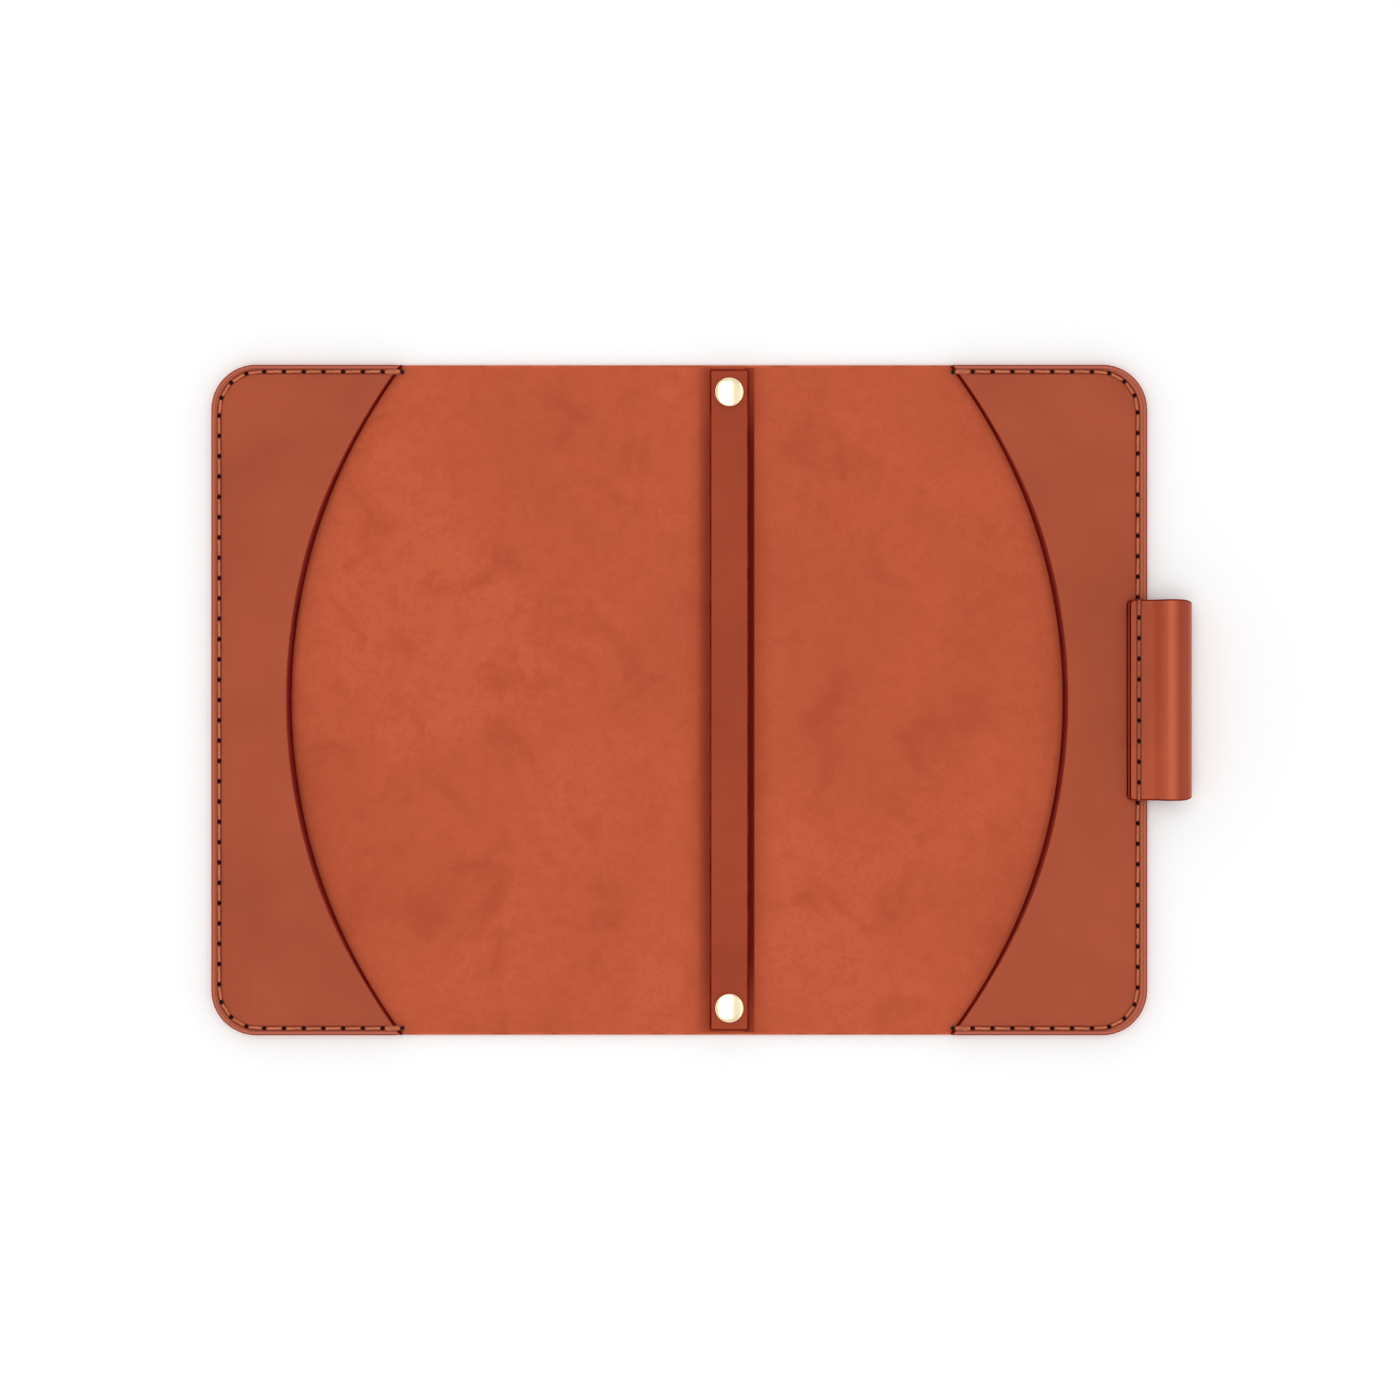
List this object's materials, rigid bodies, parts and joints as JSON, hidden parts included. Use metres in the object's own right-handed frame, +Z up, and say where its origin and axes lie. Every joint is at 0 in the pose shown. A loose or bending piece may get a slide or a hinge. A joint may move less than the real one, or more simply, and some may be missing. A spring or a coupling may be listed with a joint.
{
  "type": "passport holder wallet",
  "caption": "Open leather passport cover with curved-mouth pockets, a riveted keeper strap beside the fold and a sewn pen loop.",
  "frame": {"origin": "on the surface it lies on, under the middle of the open wallet's bounding box, pen loop included", "axes": "+X across the open cover towards the pen loop, +Y along the fold, +Z up out of the inner face"},
  "size_m": [0.1956, 0.134, 0.0082],
  "materials": {
    "cover_leather": "undyed-core, orange-tan, soft velvety flesh side inside, smooth outside",
    "pocket_leather": "smooth tan grain side, satin",
    "strap_leather": "smooth darker tan grain side, satin",
    "loop_leather": "smooth tan grain side, polished satin",
    "seam_thread": "waxed light tan linen thread",
    "rivet_brass": "polished pale brass"
  },
  "bodies": {
    "right_half": {"cover_right": "cover_leather", "pocket_right": "pocket_leather", "seam_thread_right": "seam_thread", "keeper_strap": "strap_leather", "rivet_cap_top": "rivet_brass", "rivet_post_top": "rivet_brass", "rivet_cap_bottom": "rivet_brass", "rivet_post_bottom": "rivet_brass", "pen_loop": "loop_leather"},
    "spine": {"spine": "cover_leather"},
    "left_half": {"cover_left": "cover_leather", "pocket_left": "pocket_leather", "seam_thread_left": "seam_thread"}
  },
  "joints": [
    {"name": "spine_bend", "type": "hinge", "parent": "right_half", "child": "spine", "pos_m": [-0.00092, 0, 0.00232], "axis": [0, 1, 0], "range_deg": [0, 90]},
    {"name": "cover_fold", "type": "hinge", "parent": "spine", "child": "left_half", "pos_m": [-0.00768, 0, 0.00232], "axis": [0, 1, 0], "range_deg": [0, 90]}
  ],
  "couplings": [
    {"joint": "spine_bend", "follows": "cover_fold", "ratio": 1}
  ]
}
